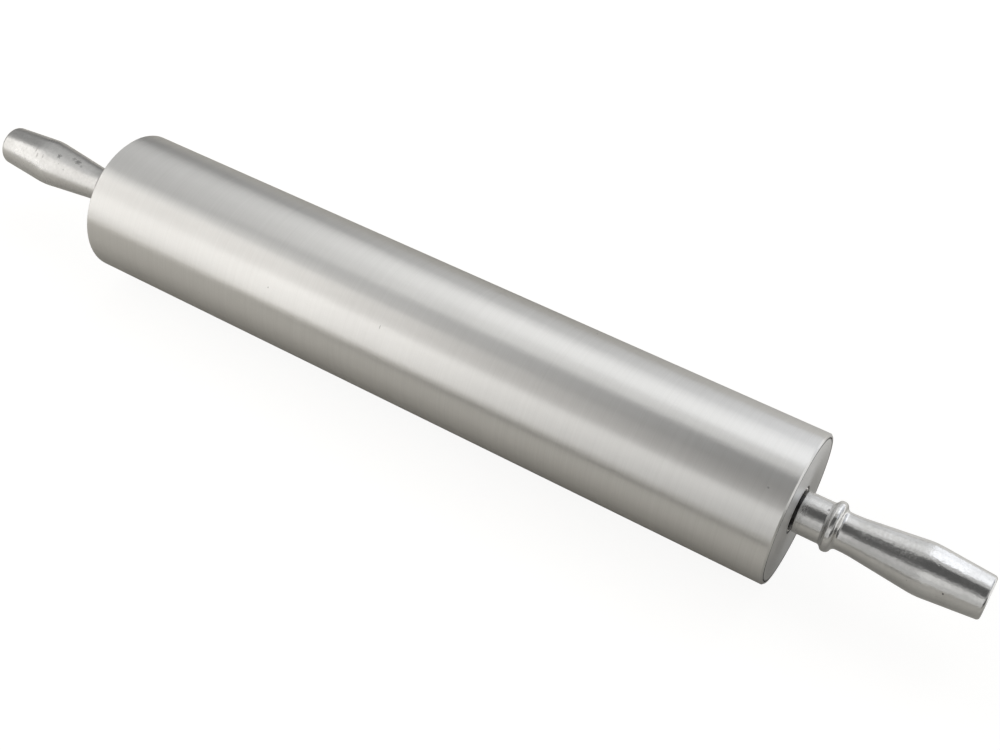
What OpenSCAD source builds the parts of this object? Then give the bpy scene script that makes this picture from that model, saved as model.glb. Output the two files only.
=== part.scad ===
// Aluminium rolling pin: a hollow roller that turns on ball bearings between two cast handles.
// The axis of the roller lies along X and the middle of the roller is at the origin.

/* [Roller] */
// Length of the roller between its two end faces
roller_length = 457.2; // [300:0.1:560]
// Outside diameter of the roller
roller_diameter = 88; // [84:0.5:100]
// Wall thickness of the roller tube
tube_wall = 2.3; // [1.6:0.1:3.5]
// Width of the bevel round the outer edge of each end
end_bevel = 0.9; // [0.4:0.1:1.2]
// Width of the fine bevel on both sides of the seam between tube and plug
seam_bevel = 0.25; // [0.1:0.05:0.4]

/* [End plugs] */
// Depth of the rim that is pressed into the tube
rim_depth = 16; // [12:0.5:30]
// Wall thickness of the rim
rim_wall = 4; // [3:0.5:6]
// Thickness of the flat web behind the end face
web_thickness = 6; // [5:0.5:8]
// Diameter of the hub that carries the bearing
hub_diameter = 38; // [34:1:44]
// Depth of the hub behind the end face
hub_depth = 18; // [12:0.5:30]
// Radius of the fillets between web, rim and hub
plug_fillet = 3; // [1:0.5:3]
// Extra diameter that holds a pressed piece tight in its seat
press_fit = 0.02; // [0.01:0.01:0.04]

/* [Bearings] */
// Diameter of each ball
ball_diameter = 2.381; // [2.2:0.001:2.45]
// Number of balls in each bearing
ball_count = 30; // [20:1:30]
// Diameter of the circle on which the ball centres run
ball_circle = 24.2; // [24.2:0.1:25]
// Running clearance between a ball and the curve of its races
race_clearance = 0.05; // [0.02:0.01:0.08]
// Wall thickness of the pressed cup
cup_wall = 0.85; // [0.6:0.05:1.2]
// Diameter of the hole in the floor of the cup
cup_hole = 21.2; // [21:0.1:21.6]
// Depth of the ball tops below the end face
ball_sink = 0.05; // [0:0.01:0.3]
// Largest diameter of the cone
cone_diameter = 23; // [22.6:0.1:23.2]
// Diameter of the collar between cone and handle
collar_diameter = 17.2; // [14:0.1:20]

/* [Axle] */
// Diameter of the axle inside the roller
axle_diameter = 12.7; // [11:0.1:14]
// Diameter of the axle's ends, in the handles and cones
axle_end_diameter = 9.525; // [8:0.001:10.5]
// Length of axle held in each handle
axle_grip = 32; // [20:1:50]
// Clearance on the radius where the axle's ends pass through a piece
axle_clearance = 0.04; // [0.02:0.01:0.08]

/* [Handles] */
// Gap between the roller's end face and the handle
handle_gap = 1.4; // [1:0.1:2.5]
// Length of each handle
handle_length = 102.5; // [90:0.5:120]
// Diameter of the neck beside the roller
neck_diameter = 23.8; // [22:0.1:24]
// Length of the neck up to the bead
neck_length = 15.4; // [12:0.1:18]
// Diameter of the bead
bead_diameter = 28.5; // [26:0.1:30]
// Width of the bead at its top
bead_width = 3; // [2.6:0.1:4]
// Diameter of the waist beside the bead
waist_diameter = 21; // [19:0.1:22]
// Distance from the handle's inner end to the start of the swell
swell_start = 29.4; // [27:0.1:34]
// Distance from the handle's inner end to the fullest part of the grip
swell_peak = 68.7; // [60:0.1:75]
// Diameter at which the two tapers of the grip would meet
swell_diameter = 29.94; // [28:0.01:32]
// Diameter of the flat outer end before its edge is rounded
tip_diameter = 24.28; // [22:0.01:27]
// Radius of the round between the grip's two tapers
swell_round = 45; // [20:1:60]
// Radius of the hollow where the waist runs into the grip
waist_round = 80; // [40:1:90]
// Radius of the rounded edge at the outer end
tip_round = 1.8; // [1:0.1:3]

/* [Hidden] */
$fn = 96;

// Radii, measured from the axis
roller_r = roller_diameter / 2;
bore_r = roller_r - tube_wall;
hub_r = hub_diameter / 2;
ball_r = ball_diameter / 2;
ball_circle_r = ball_circle / 2;
race_r = ball_r + race_clearance;
recess_r = ball_circle_r + race_r;
cup_r = recess_r + cup_wall;
cone_r = cone_diameter / 2;
axle_r = axle_diameter / 2;
axle_end_r = axle_end_diameter / 2;
axle_hole_r = axle_end_r + axle_clearance;

// Depth of the cup's rim below the end face
cup_rim_sink = 0.1;
// Distance of the cone's back in front of the cup's back
cone_back_inset = 0.3;
// Distance that the cone's front stands out of the end face
cone_stand = 0.15;
// Where the cone widens behind the balls, measured from the floor of the cup
cone_flare_start = 0.2;
cone_flare_end = 0.9;

// Positions along the axis, measured from the middle of the roller
face = roller_length / 2;
ball_at = face - ball_sink - ball_r;
cup_rim = face - cup_rim_sink;
cup_floor = ball_at - race_r;
cup_back = cup_floor - cup_wall;
cone_back = cup_back + cone_back_inset;
cone_front = face + cone_stand;
neck_end = face + handle_gap;
axle_end = neck_end + axle_grip;
tip = neck_end + handle_length;

// Rounding of the hub's inner edge
hub_round = 1;
// Free space round the axle where it passes through the hub
hub_clearance = 1.15;
// Free space between the cone's back and the hole in the cup's floor
cone_neck_clearance = 0.4;
// Bevel on the ends of the axle
axle_bevel = 0.9;
// Point angle of the drill that makes the blind hole, and the space past the axle
drill_angle = 118;
drill_space = 2;
// Roundings of the neck's edge and of the bead
neck_round = 0.6;
bead_root_round = 2.2;
bead_round = 1.3;
bead_foot_round = 1.2;
// Slope of the bead's two flanks along the axis
bead_rise = 2;
bead_fall = 1.1;
// Overlap of a rounded corner's tip with what lies beyond it
tip_overlap = 0.2;

// The corner list of an outline holds [radius, position, rounding] for each corner, anticlockwise.
function corner(c, i) = let (p = c[(i + len(c)) % len(c)]) [p[0], p[1]];
function unit(v) = v / norm(v);
function back(c, i) = unit(corner(c, i - 1) - corner(c, i));
function ahead(c, i) = unit(corner(c, i + 1) - corner(c, i));
// Half of the angle inside a corner
function half_angle(c, i) = acos(back(c, i) * ahead(c, i)) / 2;
// Distance from the corner to the points where its arc begins and ends
function reach(c, i) = c[i][2] / tan(half_angle(c, i));
function arc_centre(c, i) =
    corner(c, i) + unit(back(c, i) + ahead(c, i)) * c[i][2] / sin(half_angle(c, i));
// Positive where the outline turns left, at an outer corner
function turn(c, i) = cross(-back(c, i), ahead(c, i));
// The directions from a corner to both ends of its arc, in anticlockwise order round the tip
function sides(c, i) = turn(c, i) > 0 ? [back(c, i), ahead(c, i)] : [ahead(c, i), back(c, i)];
// A point moved straight away from the centre of the corner's arc
function moved_out(c, i, point, distance) = point + unit(point - arc_centre(c, i)) * distance;

// The tip that a corner's arc cuts off or fills in, with a little overlap beyond both lines
module corner_tip(c, i) {
    arc_ends = [for (side = sides(c, i)) corner(c, i) + side * reach(c, i)];
    difference() {
        polygon([
            arc_centre(c, i),
            moved_out(c, i, arc_ends[0], tip_overlap),
            moved_out(c, i, corner(c, i), tip_overlap / sin(half_angle(c, i))),
            moved_out(c, i, arc_ends[1], tip_overlap)
        ]);
        translate(arc_centre(c, i))
            circle(r = c[i][2]);
    }
}

// An outline with true arcs at its rounded corners
module rounded_outline(c) {
    rounded = [for (i = [0:len(c) - 1]) if (c[i][2] > 0) i];
    difference() {
        union() {
            polygon([for (i = [0:len(c) - 1]) corner(c, i)]);
            for (i = rounded)
                if (turn(c, i) < 0)
                    corner_tip(c, i);
        }
        for (i = rounded)
            if (turn(c, i) > 0)
                corner_tip(c, i);
    }
}

// Turns an outline of [radius, position] round the X axis
module turned() {
    rotate([0, 90, 0])
        rotate_extrude()
            children();
}

// Makes the left-hand piece from the right-hand one
module on_left() {
    mirror([1, 0, 0])
        children();
}

module roller_tube() {
    color("silver")
        turned()
            polygon([
                [bore_r, -face + seam_bevel],
                [bore_r + seam_bevel, -face],
                [roller_r - end_bevel, -face],
                [roller_r, -face + end_bevel],
                [roller_r, face - end_bevel],
                [roller_r - end_bevel, face],
                [bore_r + seam_bevel, face],
                [bore_r, face - seam_bevel]
            ]);
}

// End plug: a flat web with a rim pressed into the tube and a hub that holds the cup
module plug() {
    rim_r = bore_r + press_fit / 2;
    turned()
        rounded_outline([
            [axle_r + hub_clearance, face - hub_depth, 0],
            [hub_r, face - hub_depth, hub_round],
            [hub_r, face - web_thickness, plug_fillet],
            [rim_r - rim_wall, face - web_thickness, plug_fillet],
            [rim_r - rim_wall, face - rim_depth, 0],
            [rim_r - seam_bevel, face - rim_depth, 0],
            [rim_r, face - rim_depth + seam_bevel, 0],
            [rim_r, face - seam_bevel, 0],
            [rim_r - seam_bevel, face, 0],
            [cup_r, face, 0],
            [cup_r, cup_back, 0],
            [axle_r + hub_clearance, cup_back, 0]
        ]);
}

module right_plug() {
    color("darkgray")
        plug();
}

module left_plug() {
    color("darkgray")
        on_left()
            plug();
}

// Outer race: a pressed cup whose inside corner follows the balls
module cup() {
    outer_r = cup_r + press_fit / 2;
    turned()
        difference() {
            polygon([
                [cup_hole / 2, cup_back],
                [outer_r, cup_back],
                [outer_r, cup_rim],
                [recess_r, cup_rim],
                [recess_r, ball_at],
                [ball_circle_r, cup_floor],
                [cup_hole / 2, cup_floor]
            ]);
            translate([ball_circle_r, ball_at])
                circle(r = race_r);
        }
}

module right_cup() {
    color("slategray")
        cup();
}

module left_cup() {
    color("slategray")
        on_left()
            cup();
}

module balls() {
    for (i = [0:ball_count - 1])
        rotate([i * 360 / ball_count, 0, 0])
            translate([ball_at, 0, ball_circle_r])
                sphere(d = ball_diameter, $fn = 32);
}

module right_balls() {
    color("gainsboro")
        balls();
}

module left_balls() {
    color("gainsboro")
        on_left()
            balls();
}

// Inner race: a cone held between the axle's shoulder and the end of the handle
module cone() {
    back_r = cup_hole / 2 - cone_neck_clearance;
    turned()
        difference() {
            polygon([
                [axle_hole_r, cone_back],
                [back_r, cone_back],
                [back_r, cup_floor + cone_flare_start],
                [cone_r, cup_floor + cone_flare_end],
                [cone_r, cone_front],
                [collar_diameter / 2, cone_front],
                [collar_diameter / 2, neck_end],
                [axle_hole_r, neck_end]
            ]);
            translate([ball_circle_r, ball_at])
                circle(r = race_r);
        }
}

module right_cone() {
    color("dimgray")
        cone();
}

module left_cone() {
    color("dimgray")
        on_left()
            cone();
}

// Axle: one rod with a shoulder for each cone, and ends of smaller diameter for the handles
module axle() {
    color("lightslategray")
        turned()
            polygon([
                [0, -axle_end],
                [axle_end_r - axle_bevel, -axle_end],
                [axle_end_r, -axle_end + axle_bevel],
                [axle_end_r, -cone_back],
                [axle_r, -cone_back],
                [axle_r, cone_back],
                [axle_end_r, cone_back],
                [axle_end_r, axle_end - axle_bevel],
                [axle_end_r - axle_bevel, axle_end],
                [0, axle_end]
            ]);
}

// Handle: neck, bead, waist and swelling grip in one casting, with a blind hole for the axle
module handle() {
    hole_end = axle_end + drill_space;
    bead_start = neck_end + neck_length;
    bead_top = bead_start + bead_rise;
    turned()
        rounded_outline([
            [axle_hole_r, neck_end, 0],
            [neck_diameter / 2, neck_end, neck_round],
            [neck_diameter / 2, bead_start, bead_root_round],
            [bead_diameter / 2, bead_top, bead_round],
            [bead_diameter / 2, bead_top + bead_width, bead_round],
            [waist_diameter / 2, bead_top + bead_width + bead_fall, bead_foot_round],
            [waist_diameter / 2, neck_end + swell_start, waist_round],
            [swell_diameter / 2, neck_end + swell_peak, swell_round],
            [tip_diameter / 2, tip, tip_round],
            [0, tip, 0],
            [0, hole_end + axle_hole_r / tan(drill_angle / 2), 0],
            [axle_hole_r, hole_end, 0]
        ]);
}

module right_handle() {
    color("whitesmoke")
        handle();
}

module left_handle() {
    color("whitesmoke")
        on_left()
            handle();
}

roller_tube();
left_plug();
right_plug();
left_cup();
right_cup();
left_balls();
right_balls();
left_cone();
right_cone();
axle();
left_handle();
right_handle();
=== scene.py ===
"""Aluminium rolling pin: a satin roller on ball bearings between two cast and polished handles."""
import math

import bmesh
import bpy
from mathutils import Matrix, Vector, noise


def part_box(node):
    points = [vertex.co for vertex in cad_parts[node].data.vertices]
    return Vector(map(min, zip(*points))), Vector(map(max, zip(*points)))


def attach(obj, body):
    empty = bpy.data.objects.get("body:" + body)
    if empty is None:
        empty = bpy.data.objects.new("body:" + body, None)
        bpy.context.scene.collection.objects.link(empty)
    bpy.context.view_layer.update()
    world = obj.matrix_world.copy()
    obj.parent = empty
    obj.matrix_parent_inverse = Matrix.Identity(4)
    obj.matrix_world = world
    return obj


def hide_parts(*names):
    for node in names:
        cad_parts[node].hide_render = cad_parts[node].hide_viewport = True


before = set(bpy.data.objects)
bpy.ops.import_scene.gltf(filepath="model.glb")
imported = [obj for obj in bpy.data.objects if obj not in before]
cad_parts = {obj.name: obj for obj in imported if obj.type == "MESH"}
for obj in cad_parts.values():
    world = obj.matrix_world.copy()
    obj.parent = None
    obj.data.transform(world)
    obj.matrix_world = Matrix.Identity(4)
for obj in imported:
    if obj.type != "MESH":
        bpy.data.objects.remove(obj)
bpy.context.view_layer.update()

MM = 0.001

# Sizes taken from the frame
ROLLER_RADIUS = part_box("roller_tube")[1].z
SEAM_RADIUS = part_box("right_plug")[1].z
handle_low, handle_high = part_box("right_handle")
NECK_END = handle_low.x
TIP = handle_high.x
HANDLE_LENGTH = TIP - NECK_END

# The handle's outline in millimetres: distance from the neck's end, radius, and rounding of that corner
HANDLE_OUTLINE = [
    (0.0, 11.9, 0.45),
    (15.4, 11.9, 2.2),
    (17.2, 14.4, 2.0),
    (21.0, 14.4, 2.8),
    (22.3, 10.65, 2.7),
    (29.4, 10.6, 80.0),
    (68.7, 14.97, 45.0),
    (102.5, 12.14, 1.8),
]
# The blind hole in which the axle sits
HOLE_RADIUS = 4.8025 * MM
HOLE_DEPTH = 34.0 * MM
HOLE_POINT_ANGLE = math.radians(118)
# Radius of the innermost ring of the flat outer end
TIP_CENTRE_RADIUS = 1.0 * MM
# Longest step between two rings of the handle's mesh, and on the arcs between two points
RING_STEP = 0.7 * MM
ARC_STEP = math.radians(9)
HANDLE_SIDES = 144
# Edges of the handle's mesh that bend by more than this stay sharp
SHARP_EDGE = math.radians(40)
# Unevenness left by hand polishing, which fades out close to the handle's two ends
HAND_WAVE = 0.035 * MM
HAND_WAVE_LENGTH = 13 * MM
HAND_WAVE_FADE = 2 * MM
# In a warm grey, the green that is missing for each part of missing blue
GREEN_MISSING = 0.3


# Small helpers

def put_in_scene(name, data):
    """A new object with that mesh, light or camera."""
    made = bpy.data.objects.new(name, data)
    bpy.context.scene.collection.objects.link(made)
    return made


def feed(tree, socket, value):
    """Links another socket to this one, or gives this one a plain value."""
    if isinstance(value, bpy.types.NodeSocket):
        tree.links.new(value, socket)
    else:
        socket.default_value = value


def add(tree, kind, inputs=None, **settings):
    """Adds one node, with its settings, and feeds its inputs by name or number."""
    made = tree.nodes.new(kind)
    for name, value in settings.items():
        setattr(made, name, value)
    for name, value in (inputs or {}).items():
        feed(tree, made.inputs[name], value)
    return made


def maths(tree, operation, *values):
    """The result of one arithmetic step on numbers or sockets."""
    return add(tree, "ShaderNodeMath", dict(enumerate(values)), operation=operation).outputs[0]


def vector_maths(tree, operation, *vectors):
    """The result of one step on vectors or sockets."""
    return add(tree, "ShaderNodeVectorMath", dict(enumerate(vectors)), operation=operation).outputs[0]


def scaled(tree, vector, factor):
    """A vector times a number."""
    return add(tree, "ShaderNodeVectorMath", {0: vector, "Scale": factor}, operation="SCALE").outputs[0]


def length_of(tree, vector):
    """The length of a vector."""
    return add(tree, "ShaderNodeVectorMath", {0: vector}, operation="LENGTH").outputs["Value"]


def weighted_sum(tree, *values_and_weights):
    """The sum of some values, each times its own weight."""
    total = 0.0
    for value, weight in values_and_weights:
        total = maths(tree, "MULTIPLY_ADD", value, weight, total)
    return total


def blend_colours(tree, share, first, second):
    """A colour between two others."""
    return add(tree, "ShaderNodeMix", {0: share, 6: first, 7: second}, data_type="RGBA").outputs[2]


def spread(tree, value, from_low, from_high, to_low, to_high):
    """Maps a value from one range onto another and stops at its ends."""
    inputs = {0: value, 1: from_low, 2: from_high, 3: to_low, 4: to_high}
    return add(tree, "ShaderNodeMapRange", inputs, clamp=True).outputs[0]


def between(tree, share, low, high):
    """A value from low to high, as a share runs from 0 to 1."""
    return spread(tree, share, 0.0, 1.0, low, high)


def surface_place(tree):
    """Where a point of the surface is, in the object's own axes."""
    return add(tree, "ShaderNodeTexCoord").outputs["Object"]


def distance_from_axis(tree):
    """How far a point of the surface is from the roller's axis."""
    return length_of(tree, vector_maths(tree, "MULTIPLY", surface_place(tree), (0.0, 1.0, 1.0)))


def noise_texture(tree, where, scale, detail, **others):
    """The outputs of a noise texture. Others are its further inputs, by name."""
    inputs = {"Vector": where, "Scale": scale, "Detail": detail, **others}
    return add(tree, "ShaderNodeTexNoise", inputs).outputs


def new_group(name, inputs, outputs):
    """A shader group with named number inputs and outputs: the group, what it is given and its results."""
    group = bpy.data.node_groups.new(name, "ShaderNodeTree")
    for label, default in inputs.items():
        socket = group.interface.new_socket(label, in_out="INPUT", socket_type="NodeSocketFloat")
        socket.default_value = default
    for label in outputs:
        group.interface.new_socket(label, in_out="OUTPUT", socket_type="NodeSocketFloat")
    given = group.nodes.new("NodeGroupInput").outputs
    result = group.nodes.new("NodeGroupOutput").inputs
    return group, given, result


def place(tree, group, **values):
    """Puts a group into a material with its own values, and gives its outputs."""
    made = add(tree, "ShaderNodeGroup", node_tree=group)
    for name, value in values.items():
        made.inputs[name.replace("_", " ")].default_value = value
    return made.outputs


def grey(value, warmth=0.0):
    """A grey in linear light. Warmth is the share of its blue that is missing, with a little of its green."""
    return (value, value * (1 - GREEN_MISSING * warmth), value * (1 - warmth), 1.0)


# Numbers inside the shared effects

# Ranges of a noise, which the effects stretch
NOISE_RANGE = (0.3, 0.7)
RING_NOISE_RANGE = (0.32, 0.68)
CLOUD_NOISE_RANGE = (0.35, 0.65)
# Broad brushed lines: their fineness and their share in the tone, both against the fine lines
BROAD_FINENESS = 0.13
BROAD_SHARE = 0.4
# Dark seam ring: how fine its patches are, and how much of it remains where it is thinnest and thickest
DARK_SEAM_PATCHES_PER_METRE = 160.0
DARK_SEAM_REMAINING = (0.35, 0.9)
# Specks: fineness and width of their ragged edges, their least share of the given size, and the depth that
# is fully dark
SPECK_EDGES_PER_METRE = 900.0
SPECK_EDGE_WIDTH = 0.6 * MM
SPECK_LEAST_SIZE = 0.35
SPECK_DARK_DEPTH = 0.45
# Single marks: fineness and reach of their ragged edge, and the share of the radius that is fully dark
MARK_EDGES_PER_METRE = 1400.0
MARK_EDGE_REACH = 0.45
MARK_CORE = 0.45


# Effects that several finishes share

def brushed_lines_group():
    """Fine lines left by a belt or a cutter. The material sets their fineness along and across the axis."""
    group, given, result = new_group(
        "brushed lines", {"Along": 2500.0, "Across": 40.0, "Softness": 0.5}, ("Height", "Tone")
    )
    fineness = add(
        group, "ShaderNodeCombineXYZ", {0: given["Along"], 1: given["Across"], 2: given["Across"]}
    ).outputs[0]
    stretched = vector_maths(group, "MULTIPLY", surface_place(group), fineness)
    fine = noise_texture(group, stretched, 1.0, 3.0, Roughness=given["Softness"])["Fac"]
    broad = noise_texture(group, scaled(group, stretched, BROAD_FINENESS), 1.0, 2.0)["Fac"]
    both = weighted_sum(group, (fine, 1 - BROAD_SHARE), (broad, BROAD_SHARE))
    feed(group, result["Height"], fine)
    feed(group, result["Tone"], spread(group, both, *NOISE_RANGE, 0.0, 1.0))
    return group


def turned_rings_group():
    """Concentric rings left by a lathe tool on a face that is square to the axis."""
    group, given, result = new_group("turned rings", {"Rings per metre": 2200.0}, ("Height", "Tone"))
    count = maths(group, "MULTIPLY", distance_from_axis(group), given["Rings per metre"])
    ring = add(
        group, "ShaderNodeTexNoise", {"W": count, "Scale": 1.0, "Detail": 2.0}, noise_dimensions="1D"
    ).outputs["Fac"]
    feed(group, result["Height"], ring)
    feed(group, result["Tone"], spread(group, ring, *RING_NOISE_RANGE, 0.0, 1.0))
    return group


def dark_seam_ring_group():
    """A dark ring along the round seam between tube and plug: darkest in the seam and fading on both sides,
    in patches.
    """
    group, given, result = new_group(
        "dark seam ring", {"Radius": 0.04, "Core": 0.0004, "Reach": 0.001}, ("Mask",)
    )
    off = maths(group, "SUBTRACT", distance_from_axis(group), given["Radius"])
    away = maths(group, "ABSOLUTE", off)
    patchy = noise_texture(group, surface_place(group), DARK_SEAM_PATCHES_PER_METRE, 3.0)["Fac"]
    remaining = spread(group, patchy, *CLOUD_NOISE_RANGE, *DARK_SEAM_REMAINING)
    core = maths(group, "LESS_THAN", away, given["Core"])
    halo = maths(group, "SUBTRACT", 1.0, maths(group, "DIVIDE", away, given["Reach"]))
    faded = maths(group, "MULTIPLY", maths(group, "MAXIMUM", halo, 0.0), remaining)
    feed(group, result["Mask"], maths(group, "MAXIMUM", core, faded))
    return group


def specks_group():
    """Sparse small pits and nicks. Share is the part of the cells that hold one."""
    group, given, result = new_group(
        "specks", {"Cells per metre": 120.0, "Share": 0.1, "Size": 0.12}, ("Mask",)
    )
    ragged = noise_texture(group, surface_place(group), SPECK_EDGES_PER_METRE, 1.0)["Color"]
    moved = vector_maths(group, "ADD", surface_place(group), scaled(group, ragged, SPECK_EDGE_WIDTH))
    cells = add(group, "ShaderNodeTexVoronoi", {"Vector": moved, "Scale": given["Cells per metre"]}).outputs
    chance = add(group, "ShaderNodeSeparateColor", {0: cells["Color"]}).outputs
    holds_one = maths(group, "LESS_THAN", chance[0], given["Share"])
    reach = maths(group, "MULTIPLY", given["Size"], maths(group, "ADD", chance[1], SPECK_LEAST_SIZE))
    depth = maths(group, "SUBTRACT", 1.0, maths(group, "DIVIDE", cells["Distance"], reach))
    shown = maths(group, "MULTIPLY", maths(group, "MAXIMUM", depth, 0.0), holds_one)
    feed(group, result["Mask"], spread(group, shown, 0.0, SPECK_DARK_DEPTH, 0.0, 1.0))
    return group


def handling_group():
    """Slow, cloudy differences from handling and washing."""
    group, given, result = new_group("handling", {"Clouds per metre": 25.0}, ("Amount",))
    cloud = noise_texture(group, surface_place(group), given["Clouds per metre"], 3.0, Distortion=0.4)["Fac"]
    feed(group, result["Amount"], spread(group, cloud, *CLOUD_NOISE_RANGE, 0.0, 1.0))
    return group


def uneven_polish_group():
    """Shallow waves that a polishing wheel leaves in a surface. Fineness is how much finer waves count."""
    group, given, result = new_group(
        "uneven polish", {"Waves per metre": 250.0, "Fineness": 0.5}, ("Height", "Tone")
    )
    wave = noise_texture(
        group, surface_place(group), given["Waves per metre"], 3.0, Roughness=given["Fineness"]
    )["Fac"]
    feed(group, result["Height"], wave)
    feed(group, result["Tone"], spread(group, wave, *CLOUD_NOISE_RANGE, 0.0, 1.0))
    return group


def single_mark_group():
    """One ragged mark at a given place. Narrowing above one makes it a scratch round the axis."""
    group, given, result = new_group(
        "single mark", {"X": 0.0, "Y": 0.0, "Z": 0.0, "Radius": 0.001, "Narrowing": 1.0}, ("Mask",)
    )
    middle = add(group, "ShaderNodeCombineXYZ", {i: given[axis] for i, axis in enumerate("XYZ")}).outputs[0]
    narrowing = add(group, "ShaderNodeCombineXYZ", {0: given["Narrowing"], 1: 1.0, 2: 1.0}).outputs[0]
    away = vector_maths(group, "SUBTRACT", surface_place(group), middle)
    distance = length_of(group, vector_maths(group, "MULTIPLY", away, narrowing))
    ragged = noise_texture(group, surface_place(group), MARK_EDGES_PER_METRE, 2.0)["Fac"]
    shift = spread(group, ragged, *NOISE_RANGE, -MARK_EDGE_REACH, MARK_EDGE_REACH)
    edge = maths(group, "ADD", maths(group, "DIVIDE", distance, given["Radius"]), shift)
    feed(group, result["Mask"], spread(group, edge, MARK_CORE, 1.0, 1.0, 0.0))
    return group


BRUSHED_LINES = brushed_lines_group()
TURNED_RINGS = turned_rings_group()
DARK_SEAM_RING = dark_seam_ring_group()
SPECKS = specks_group()
HANDLING = handling_group()
UNEVEN_POLISH = uneven_polish_group()
SINGLE_MARK = single_mark_group()

# Marks that use has left: place along the axis, angle from the back over the top, distance from the axis
# and radius, all in millimetres and degrees, then how narrow and how dark the mark is
ROLLER_MARKS = [
    (-140.3, 176, 44.0, 0.5, 1.0, 0.5),
    (-91.5, 143, 44.0, 0.5, 1.0, 0.5),
    (91.9, 57, 44.0, 0.6, 1.0, 0.5),
    (215.7, 121, 44.0, 0.7, 1.0, 0.4),
    (-16.0, 134, 44.0, 1.3, 4.0, 0.5),
]
RIGHT_HANDLE_MARKS = [
    (311.9, 159, 13.8, 0.6, 1.0, 0.9),
    (244.0, 92, 11.9, 0.8, 1.0, 0.7),
]
LEFT_HANDLE_MARKS = [
    (-303.5, 115, 14.5, 1.9, 3.5, 0.45),
    (-301.0, 127, 14.6, 2.0, 2.5, 0.35),
    (-296.6, 123, 14.7, 1.6, 2.0, 0.30),
    (-286.5, 103, 13.5, 1.8, 1.0, 0.60),
    (-273.4, 91, 12.1, 2.1, 1.0, 0.60),
    (-277.0, 87, 12.5, 1.5, 1.0, 0.40),
    (-269.5, 99, 11.9, 1.2, 1.0, 0.35),
]


# Finishes

# The dark ring along the plug's seam
SEAM_CORE = 0.35 * MM
DARK_SEAM_REACH = 1.3 * MM
DARK_SEAM_COLOUR = grey(0.07, 0.1)
# Turns the stretched gloss across lines that run round the axis
QUARTER_TURN = 0.25


def metal(name, **constants):
    """A bare metal material, its tree and its shader's inputs, with the constants set on them."""
    material = bpy.data.materials.new(name)
    material.use_nodes = True
    tree = material.node_tree
    shader = tree.nodes["Principled BSDF"].inputs
    shader["Metallic"].default_value = 1.0
    for label, value in constants.items():
        shader[label.replace("_", " ")].default_value = value
    return material, tree, shader


def raise_surface(tree, shader, height, depth):
    """Feeds a height, worth that many metres, to the shader's normal."""
    bump = add(tree, "ShaderNodeBump", {"Height": height, "Distance": depth, "Strength": 1.0})
    feed(tree, shader["Normal"], bump.outputs[0])


def with_marks(tree, colour, marks, dark):
    """Draws single marks over a colour: the marked colour, and how deep the marks go."""
    depth = 0.0
    for along, angle, radius, size, narrowing, darkness in marks:
        turn = math.radians(angle)
        mark = place(
            tree,
            SINGLE_MARK,
            X=along * MM,
            Y=radius * math.cos(turn) * MM,
            Z=radius * math.sin(turn) * MM,
            Radius=size * MM,
            Narrowing=narrowing,
        )
        share = maths(tree, "MULTIPLY", mark["Mask"], darkness)
        colour = blend_colours(tree, share, colour, dark)
        depth = maths(tree, "MAXIMUM", share, depth)
    return colour, depth


def with_dark_seam_ring(tree, shader, colour, rough):
    """Lays a dark ring along the plug's seam over a colour and a roughness, and feeds both to the shader."""
    dark_seam = place(tree, DARK_SEAM_RING, Radius=SEAM_RADIUS, Core=SEAM_CORE, Reach=DARK_SEAM_REACH)["Mask"]
    feed(tree, shader["Base Color"], blend_colours(tree, dark_seam, colour, DARK_SEAM_COLOUR))
    feed(tree, shader["Metallic"], maths(tree, "SUBTRACT", 1.0, dark_seam))
    feed(tree, shader["Roughness"], maths(tree, "MAXIMUM", rough, dark_seam))


def grain_round_the_axis(tree, shader):
    """Stretches the gloss across the brushed lines, which run round the axis."""
    tangent = add(tree, "ShaderNodeTangent", direction_type="RADIAL", axis="X")
    feed(tree, shader["Tangent"], tangent.outputs[0])
    shader["Anisotropic Rotation"].default_value = QUARTER_TURN


def satin_roller_finish():
    """Belt-finished tube: fine lines round the axis, a few specks and a soft cloudy sheen."""
    dark_line, bright_line = grey(0.76, 0.035), grey(0.825, 0.03)
    speck_colour, mark_colour = grey(0.45, 0.03), grey(0.16, 0.05)
    dark_roughness, bright_roughness, cloud_roughness = 0.28, 0.32, 0.03
    # A weight multiplies the full height, here and in the next finishes, and is below zero for missing metal
    grain_weight, pit_weight, full_height = 15.0, -4.0, 0.003 * MM

    material, tree, shader = metal("satin roller", Anisotropic=0.9, Specular_Tint=grey(0.72))
    grain_round_the_axis(tree, shader)
    lines = place(tree, BRUSHED_LINES, Along=2600.0, Across=28.0, Softness=0.55)
    specks = place(tree, SPECKS, Cells_per_metre=45.0, Share=0.035, Size=0.03)
    clouds = place(tree, HANDLING, Clouds_per_metre=14.0)
    grain = place(tree, UNEVEN_POLISH, Waves_per_metre=1000.0, Fineness=0.7)
    lined = blend_colours(tree, lines["Tone"], dark_line, bright_line)
    specked = blend_colours(tree, specks["Mask"], lined, speck_colour)
    marked, depth = with_marks(tree, specked, ROLLER_MARKS, mark_colour)
    rough = maths(
        tree,
        "ADD",
        between(tree, lines["Tone"], dark_roughness, bright_roughness),
        between(tree, clouds["Amount"], 0.0, cloud_roughness),
    )
    with_dark_seam_ring(tree, shader, marked, rough)
    height = weighted_sum(
        tree,
        (lines["Height"], 1.0),
        (grain["Height"], grain_weight),
        (maths(tree, "MAXIMUM", specks["Mask"], depth), pit_weight),
    )
    raise_surface(tree, shader, height, full_height)
    return material


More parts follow.
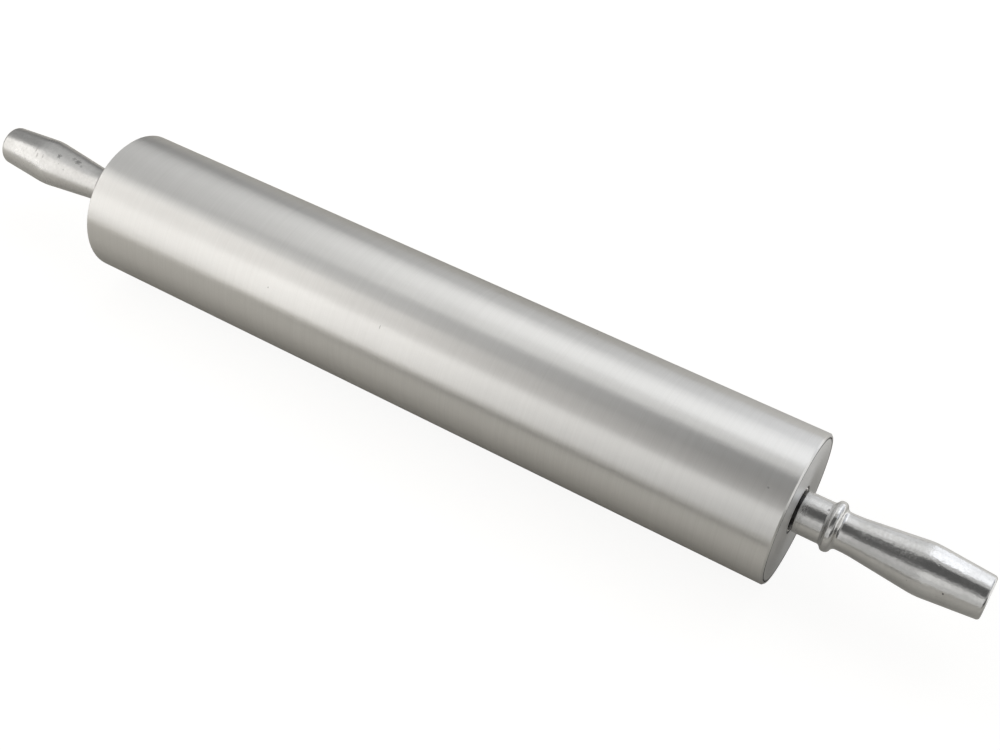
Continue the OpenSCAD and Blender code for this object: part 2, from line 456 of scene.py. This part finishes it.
def turned_end_finish():
    """Face of the end plug, turned on a lathe: concentric rings and small nicks."""
    dark_ring, bright_ring, nick_colour = grey(0.70, 0.01), grey(0.77, 0.01), grey(0.45, 0.02)
    smooth, dull = 0.40, 0.48
    nick_weight, full_height = -4.0, 0.006 * MM

    material, tree, shader = metal("turned end", Anisotropic=0.5)
    grain_round_the_axis(tree, shader)
    rings = place(tree, TURNED_RINGS, Rings_per_metre=1900.0)
    nicks = place(tree, SPECKS, Cells_per_metre=160.0, Share=0.12, Size=0.16)
    clouds = place(tree, HANDLING, Clouds_per_metre=40.0)
    ringed = blend_colours(tree, rings["Tone"], dark_ring, bright_ring)
    nicked = blend_colours(tree, nicks["Mask"], ringed, nick_colour)
    with_dark_seam_ring(tree, shader, nicked, between(tree, clouds["Amount"], smooth, dull))
    height = weighted_sum(tree, (rings["Height"], 1.0), (nicks["Mask"], nick_weight))
    raise_surface(tree, shader, height, full_height)
    return material


def cast_handle_finish(name, smooth, dull, stain, unevenness, marks):
    """Cast aluminium, polished by hand: waves, small pits, faint lengthwise lines and duller clouds.

    Smooth and dull are the limits of its roughness, stain is how dark its mottled patches are, and
    unevenness is the height of its waves.
    """
    dull_cloud, smooth_cloud, mottle_colour = grey(0.70, 0.03), grey(0.77, 0.02), grey(0.45, 0.04)
    line_colour, pit_colour, dent_colour = grey(0.60, 0.02), grey(0.35, 0.02), grey(0.30, 0.02)
    mark_colour = grey(0.10, 0.04)
    line_darkness, pit_darkness, hole_roughness = 0.2, 0.6, 0.15
    mottle_weight, line_weight = 0.3, 0.04
    pit_weight, dent_weight, mark_weight = -0.08, -0.2, -0.5

    material, tree, shader = metal(name)
    lines = place(tree, BRUSHED_LINES, Along=60.0, Across=1400.0, Softness=0.6)
    waves = place(tree, UNEVEN_POLISH, Waves_per_metre=260.0, Fineness=0.65)
    mottle = place(tree, UNEVEN_POLISH, Waves_per_metre=520.0, Fineness=0.7)
    pits = place(tree, SPECKS, Cells_per_metre=620.0, Share=0.10, Size=0.22)
    dents = place(tree, SPECKS, Cells_per_metre=140.0, Share=0.04, Size=0.05)
    clouds = place(tree, HANDLING, Clouds_per_metre=60.0)
    colour = blend_colours(tree, clouds["Amount"], dull_cloud, smooth_cloud)
    for mask, darkness, dark in (
        (mottle["Tone"], stain, mottle_colour),
        (lines["Tone"], line_darkness, line_colour),
        (pits["Mask"], pit_darkness, pit_colour),
        (dents["Mask"], 1.0, dent_colour),
    ):
        colour = blend_colours(tree, maths(tree, "MULTIPLY", mask, darkness), colour, dark)
    marked, depth = with_marks(tree, colour, marks, mark_colour)
    feed(tree, shader["Base Color"], marked)
    holes = maths(tree, "MAXIMUM", pits["Mask"], depth)
    rough = maths(tree, "MULTIPLY_ADD", holes, hole_roughness, between(tree, clouds["Amount"], dull, smooth))
    feed(tree, shader["Roughness"], rough)
    height = weighted_sum(
        tree,
        (waves["Height"], 1.0),
        (mottle["Height"], mottle_weight),
        (lines["Height"], line_weight),
        (pits["Mask"], pit_weight),
        (dents["Mask"], dent_weight),
        (depth, mark_weight),
    )
    raise_surface(tree, shader, height, unevenness)
    return material


def steel_finish(name, dark, bright, smooth, dull, rings_per_metre):
    """Ground or turned steel, with rings, a few nicks and an oily cloud.

    Dark and bright are the limits of its tone, and smooth and dull those of its roughness.
    """
    warmth, nick_warmth, nick_share, full_height = 0.03, 0.05, 0.5, 0.003 * MM

    material, tree, shader = metal(name)
    rings = place(tree, TURNED_RINGS, Rings_per_metre=rings_per_metre)
    nicks = place(tree, SPECKS, Cells_per_metre=900.0, Share=0.08, Size=0.3)
    clouds = place(tree, HANDLING, Clouds_per_metre=220.0)
    ringed = blend_colours(tree, rings["Tone"], grey(dark, warmth), grey(bright, warmth))
    nicked = blend_colours(tree, nicks["Mask"], ringed, grey(dark * nick_share, nick_warmth))
    feed(tree, shader["Base Color"], nicked)
    feed(tree, shader["Roughness"], between(tree, clouds["Amount"], smooth, dull))
    raise_surface(tree, shader, rings["Height"], full_height)
    return material


def dress(node, finish):
    """Gives a CAD node its finish and leaves its shape alone."""
    for material_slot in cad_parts[node].material_slots:
        material_slot.material = finish


satin_roller = satin_roller_finish()
turned_end = turned_end_finish()
right_casting = cast_handle_finish(
    "polished casting", smooth=0.14, dull=0.22, stain=0.2, unevenness=0.12 * MM, marks=RIGHT_HANDLE_MARKS
)
left_casting = cast_handle_finish(
    "satin casting", smooth=0.27, dull=0.35, stain=0.32, unevenness=0.08 * MM, marks=LEFT_HANDLE_MARKS
)
# Cups and cones are painted almost black: painted shade for the deep gap between the roller's end and the
# handle's neck
bearing_steel_painted_dark = steel_finish(
    "bearing steel painted dark", dark=0.04, bright=0.09, smooth=0.25, dull=0.40, rings_per_metre=5200.0
)
ball_steel = steel_finish(
    "ball steel", dark=0.80, bright=0.90, smooth=0.05, dull=0.10, rings_per_metre=9000.0
)
axle_steel = steel_finish(
    "axle steel", dark=0.42, bright=0.54, smooth=0.26, dull=0.40, rings_per_metre=4200.0
)

dress("roller_tube", satin_roller)
dress("axle", axle_steel)
for side in ("left", "right"):
    dress(f"{side}_plug", turned_end)
    dress(f"{side}_cup", bearing_steel_painted_dark)
    dress(f"{side}_cone", bearing_steel_painted_dark)
    dress(f"{side}_balls", ball_steel)


# Handles: the frame's outline with a slightly fuller bead and the slight waves of a hand-polished surface

def rounded_corner(before, corner, after, rounding):
    """Points on the arc that rounds one corner of an outline."""
    here = Vector(corner)
    back = (Vector(before) - here).normalized()
    ahead = (Vector(after) - here).normalized()
    half = math.acos(max(-1.0, min(1.0, back.dot(ahead)))) / 2
    start = here + back * rounding / math.tan(half)
    centre = here + (back + ahead).normalized() * rounding / math.sin(half)
    sweep = math.pi - 2 * half
    turn = math.copysign(1.0, ahead.x * back.y - ahead.y * back.x)
    steps = max(2, math.ceil(max(sweep / ARC_STEP, sweep * rounding / RING_STEP)))
    arm = start - centre
    points = []
    for i in range(steps + 1):
        angle = turn * sweep * i / steps
        points.append(centre + Vector((
            arm.x * math.cos(angle) - arm.y * math.sin(angle),
            arm.x * math.sin(angle) + arm.y * math.cos(angle),
        )))
    return points


def handle_profile():
    """The handle's outline from the hole round to the tip: distance from the neck's end, and radius."""
    corners = [(d * MM, r * MM) for d, r, _ in HANDLE_OUTLINE]
    before = [(0.0, HOLE_RADIUS)] + corners[:-1]
    after = corners[1:] + [(corners[-1][0], 0.0)]
    smooth = []
    for (_, _, rounding), start, corner, end in zip(HANDLE_OUTLINE, before, corners, after):
        smooth += rounded_corner(start, corner, end, rounding * MM)
    outer = [Vector((0.0, HOLE_RADIUS)), *smooth, Vector((HANDLE_LENGTH, TIP_CENTRE_RADIUS))]
    profile = [outer[0]]
    for point in outer[1:]:
        start = profile[-1]
        gap = point - start
        steps = max(1, math.ceil(gap.length / RING_STEP))
        profile += [start + gap * (i + 1) / steps for i in range(steps)]
    return profile


def hand_polish(point, seed):
    """How far hand polishing has left the surface above or below its true place."""
    return HAND_WAVE * noise.noise(point / HAND_WAVE_LENGTH + Vector((seed, 0.0, 0.0)))


def cast_handle(name, side, seed, finish):
    """One handle. Side is 1 at the right end and -1 at the left end."""
    mesh = bmesh.new()
    angles = [2 * math.pi * i / HANDLE_SIDES for i in range(HANDLE_SIDES)]
    ways = [Vector((0.0, math.cos(angle), math.sin(angle))) for angle in angles]
    hole_middle = Vector((side * (NECK_END + HOLE_DEPTH), 0.0, 0.0))
    rings = [[mesh.verts.new(hole_middle + way * HOLE_RADIUS) for way in ways]]
    for distance, radius in handle_profile():
        from_end = min(distance, HANDLE_LENGTH - distance)
        free = max(0.0, min(1.0, from_end / HAND_WAVE_FADE))
        middle = Vector((side * (NECK_END + distance), 0.0, 0.0))
        ring = []
        for way in ways:
            spot = Vector((distance, 0.0, 0.0)) + way * radius
            ring.append(mesh.verts.new(middle + way * (radius + free * hand_polish(spot, seed))))
        rings.append(ring)
    for ring, following in zip(rings, rings[1:]):
        for i in range(HANDLE_SIDES):
            j = (i + 1) % HANDLE_SIDES
            mesh.faces.new((ring[i], ring[j], following[j], following[i]))
    hole_tip = NECK_END + HOLE_DEPTH + HOLE_RADIUS / math.tan(HOLE_POINT_ANGLE / 2)
    for ring, middle in ((rings[-1], TIP), (rings[0], hole_tip)):
        centre = mesh.verts.new((side * middle, 0.0, 0.0))
        for i in range(HANDLE_SIDES):
            mesh.faces.new((ring[(i + 1) % HANDLE_SIDES], ring[i], centre))
    bmesh.ops.recalc_face_normals(mesh, faces=mesh.faces)
    data = bpy.data.meshes.new(name)
    mesh.to_mesh(data)
    mesh.free()
    data.shade_smooth()
    data.set_sharp_from_angle(angle=SHARP_EDGE)
    data.materials.append(finish)
    return put_in_scene(name, data)


for name, node, side, seed, finish in (
    ("right_cast_handle", "right_handle", 1, 3.0, right_casting),
    ("left_cast_handle", "left_handle", -1, 7.0, left_casting),
):
    handle = cast_handle(name, side, seed, finish)
    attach(handle, "axle_and_handles")
    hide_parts(node)


# Floor, backdrop, light and camera

WHITE = (1.0, 1.0, 1.0, 1.0)
FLOOR_SIZE = 6.0
FLOOR_COLOUR = grey(0.70, 0.10)
# A painted shadow along the roller: the paper is darkest within the first of these distances from the
# roller's axis, and plain past the second
PAINTED_SHADOW_COLOUR = grey(0.52, 0.10)
PAINTED_SHADOW_EDGES = (0.03, 0.10)
# What the camera sees of the paper: a share of its own light and shadow, and white added on top. Between
# these two distances from the roller the paper runs out into the white of the room
SHADOW_KEPT = 0.4
WHITE_ADDED = 0.88
RUN_OUT = (0.9, 2.0)
# Share of the white that the metal sees in the paper, and its share in a painted glow in the paper that only
# the metal sees: there the share grows from the first to the second of these places along the roller and
# behind it
WHITE_IN_METAL = 0.02
PAINTED_GLOW_IN_METAL = 0.95
PAINTED_GLOW_ALONG = (0.36, 0.46)
PAINTED_GLOW_BEHIND = (-0.03, 0.03)
# A weaker painted glow in the paper behind the roller, which only the metal sees and which grows in the same
# way
PAINTED_BACK_GLOW_IN_METAL = 0.26
PAINTED_BACK_GLOW_ALONG = (0.0, 0.24)
PAINTED_BACK_GLOW_BEHIND = (0.05, 0.10)
# The grey fill that lights the metal and the paper from all round
WORLD_FILL = 0.09
# The dark card, a painted dark reflection that only the metal sees: its ends along the roller, its near and
# far edges in front of it, its height over the floor
CARD_ENDS = (-0.15, 0.28)
CARD_EDGES = (-0.31, -0.44)
CARD_LIFT = 0.001
CARD_COLOUR = grey(0.01)
CARD_ROUGHNESS = 0.9
# Soft panels: their distance from the roller's axis, and about how many degrees one flat lamp takes up
PANEL_DISTANCE = 1.2
LAMP_ANGLE = 22
WARM = (1.02, 1.0, 0.97)
NEUTRAL = (1.0, 1.0, 0.99)
COOL = (0.95, 0.995, 1.09)
# Each panel's ends along the roller, its lowest and highest angle round it, its brightness and its colour
PANELS = [
    ("front left panel", -1.2, -0.4, 110, 182, 1.03, WARM),
    ("front left strip", -0.7, -0.4, 112, 150, 0.24, WARM),
    ("far left panel", -2.8, -1.2, 95, 178, 1.26, WARM),
    ("roof panel", -1.7, -0.3, 25, 112, 0.37, NEUTRAL),
    ("left roof strip", -1.7, -0.6, 80, 110, 0.25, NEUTRAL),
    ("far back panel", -1.7, -0.7, 0, 28, 0.08, NEUTRAL),
    ("top panel", -0.5, -0.15, 40, 105, 0.42, NEUTRAL),
    ("back panel", -0.7, 0.7, 0, 85, 0.48, NEUTRAL),
    ("middle back panel", -0.3, 0.7, 32, 66, 0.18, NEUTRAL),
    ("right back panel", 0.0, 0.40, 0, 70, 0.21, COOL),
    ("right back strip", 0.25, 0.7, 0, 68, 0.60, COOL),
    ("far right panel", 0.7, 1.3, 0, 85, 0.60, COOL),
    ("right roof panel", 0.75, 1.4, 85, 150, 0.35, NEUTRAL),
    ("front panel", -0.7, 0.7, 138, 182, 0.40, NEUTRAL),
    ("front right panel", 0.0, 0.7, 125, 160, 0.16, NEUTRAL),
    ("front right strip", 0.2, 0.7, 128, 182, 0.13, NEUTRAL),
]
# The photograph's camera: its place, its two angles in degrees, and its lens and sensor in millimetres
CAMERA_PLACE = (0.31747, -0.44703, 0.61608)
CAMERA_AZIMUTH = 31.4697
CAMERA_ELEVATION = 49.7783
CAMERA_LENS = 50.854
CAMERA_SENSOR_WIDTH = 36.0
CAMERA_NEAREST = 0.05
CAMERA_FARTHEST = 20.0


def rays(tree):
    """Whether a ray comes from the camera, and whether it comes from a mirroring or clear surface."""
    ray = add(tree, "ShaderNodeLightPath").outputs
    return ray["Is Camera Ray"], maths(tree, "MAXIMUM", ray["Is Glossy Ray"], ray["Is Transmission Ray"])


def paper_finish():
    """Plain pale paper with a painted shadow along the roller. The camera sees it lifted to white, with a
    light shadow.

    The metal sees it almost as it is, with painted light in it: to the metal it glows weakly behind the
    roller, and close to white behind the right handle.
    """
    material = bpy.data.materials.new("pale paper")
    material.use_nodes = True
    tree = material.node_tree
    tree.nodes.remove(tree.nodes["Principled BSDF"])
    where = add(tree, "ShaderNodeNewGeometry").outputs["Position"]
    along, behind, _ = add(tree, "ShaderNodeSeparateXYZ", {0: where}).outputs
    # Painted shadow: the paper is darker along the roller
    outside_painted_shadow = spread(tree, maths(tree, "ABSOLUTE", behind), *PAINTED_SHADOW_EDGES, 0.0, 1.0)
    paper_with_painted_shadow = blend_colours(tree, outside_painted_shadow, PAINTED_SHADOW_COLOUR, FLOOR_COLOUR)
    paper = add(tree, "ShaderNodeBsdfDiffuse", {"Color": paper_with_painted_shadow})
    white_strength = WHITE_ADDED / (1 - SHADOW_KEPT)
    white = add(tree, "ShaderNodeEmission", {"Color": WHITE, "Strength": white_strength})
    from_camera, mirrored = rays(tree)
    run_out = spread(tree, length_of(tree, where), *RUN_OUT, 1 - SHADOW_KEPT, 1.0)
    seen = maths(tree, "MULTIPLY", from_camera, run_out)
    white_share = WHITE_IN_METAL
    # Painted light: patches where the paper glows to the metal alone
    for strength, ends, edges in (
        (PAINTED_GLOW_IN_METAL, PAINTED_GLOW_ALONG, PAINTED_GLOW_BEHIND),
        (PAINTED_BACK_GLOW_IN_METAL, PAINTED_BACK_GLOW_ALONG, PAINTED_BACK_GLOW_BEHIND),
    ):
        glow_along = spread(tree, along, *ends, 0.0, 1.0)
        glow_behind = spread(tree, behind, *edges, 0.0, strength)
        white_share = maths(tree, "MAXIMUM", white_share, maths(tree, "MULTIPLY", glow_along, glow_behind))
    share = maths(tree, "MAXIMUM", seen, maths(tree, "MULTIPLY", mirrored, white_share))
    mix = add(tree, "ShaderNodeMixShader", {0: share, 1: paper.outputs[0], 2: white.outputs[0]})
    feed(tree, tree.nodes["Material Output"].inputs["Surface"], mix.outputs[0])
    return material


def black_card_finish():
    """Dull black card."""
    material = bpy.data.materials.new("black card")
    material.use_nodes = True
    shader = material.node_tree.nodes["Principled BSDF"].inputs
    shader["Base Color"].default_value = CARD_COLOUR
    shader["Roughness"].default_value = CARD_ROUGHNESS
    return material


def flat_sheet(name, ends, edges, height, finish):
    """A flat sheet at a height, between two ends along the roller and two edges across it."""
    left, right = ends
    near, far = edges
    mesh = bmesh.new()
    corners = ((left, far), (right, far), (right, near), (left, near))
    mesh.faces.new([mesh.verts.new((x, y, height)) for x, y in corners])
    data = bpy.data.meshes.new(name)
    mesh.to_mesh(data)
    mesh.free()
    data.materials.append(finish)
    return put_in_scene(name, data)


def floor():
    """A wide flat sheet of paper under the roller."""
    half = FLOOR_SIZE / 2
    sheet = flat_sheet("floor", (-half, half), (half, -half), -ROLLER_RADIUS, paper_finish())


def dark_card():
    """A black card flat on the floor in front of the roller, seen only in the metal: a painted dark
    reflection that draws a thin dark line in the metal.
    """
    card = flat_sheet("dark card", CARD_ENDS, CARD_EDGES, -ROLLER_RADIUS + CARD_LIFT, black_card_finish())
    # Hidden from the camera, from bounced light and from shadows, so it is only a painted reflection
    card.visible_camera = card.visible_diffuse = card.visible_shadow = False


def surroundings():
    """A white room to the camera, of which the metal sees a little, and a quiet grey fill to all else."""
    world = bpy.data.worlds.new("studio")
    bpy.context.scene.world = world
    world.use_nodes = True
    tree = world.node_tree
    from_camera, mirrored = rays(tree)
    share = maths(tree, "MAXIMUM", from_camera, maths(tree, "MULTIPLY", mirrored, WHITE_IN_METAL))
    strength = add(tree, "ShaderNodeMix", {0: share, 2: WORLD_FILL, 3: 1.0}).outputs[0]
    background = tree.nodes["Background"].inputs
    background["Color"].default_value = WHITE
    feed(tree, background["Strength"], strength)


def soft_lamp(name, length, width, radiance, colour):
    """A flat lamp of that size and brightness, which the camera doesn't see."""
    light = bpy.data.lights.new(name, "AREA")
    light.shape = "RECTANGLE"
    light.size = length
    light.size_y = width
    light.energy = radiance * math.pi * light.size * light.size_y
    light.color = colour
    lamp = put_in_scene(name, light)
    lamp.visible_camera = False
    return lamp


def curved_panel(name, left, right, low, high, radiance, colour):
    """A soft curved panel over the roller, made of flat lamps side by side.

    Left and right are its ends along the roller. Low and high are angles round the roller's axis in degrees,
    from the horizon behind it, up over it to the horizon in front.
    """
    lamps = max(1, round((high - low) / LAMP_ANGLE))
    step = math.radians(high - low) / lamps
    width = 2 * PANEL_DISTANCE * math.tan(step / 2)
    middle = (left + right) / 2
    for i in range(lamps):
        turn = math.radians(low) + step * (i + 0.5)
        lamp = soft_lamp(name, right - left, width, radiance, colour)
        lamp.location = (middle, PANEL_DISTANCE * math.cos(turn), PANEL_DISTANCE * math.sin(turn))
        lamp.rotation_euler = (turn - math.pi / 2, 0.0, 0.0)


def end_panel(name, place_of_middle, length, width, radiance, colour):
    """A soft flat panel beyond one end of the roller, square to its axis."""
    lamp = soft_lamp(name, length, width, radiance, colour)
    lamp.location = place_of_middle
    lamp.rotation_euler = (math.radians(90), 0.0, math.radians(90))


def camera():
    """The photograph's camera: it looks down on the roller from the front right."""
    data = bpy.data.cameras.new("camera")
    data.lens = CAMERA_LENS
    data.sensor_width = CAMERA_SENSOR_WIDTH
    data.clip_start = CAMERA_NEAREST
    data.clip_end = CAMERA_FARTHEST
    made = put_in_scene("camera", data)
    made.location = CAMERA_PLACE
    made.rotation_euler = (math.radians(90 - CAMERA_ELEVATION), 0.0, math.radians(CAMERA_AZIMUTH))
    bpy.context.scene.camera = made


floor()
dark_card()
surroundings()
for values in PANELS:
    curved_panel(*values)
end_panel(
    "right end panel", place_of_middle=(1.4, 0.4, 0.45), length=1.4, width=0.9, radiance=0.8, colour=NEUTRAL
)
camera()
bpy.context.scene.view_settings.view_transform = "Standard"
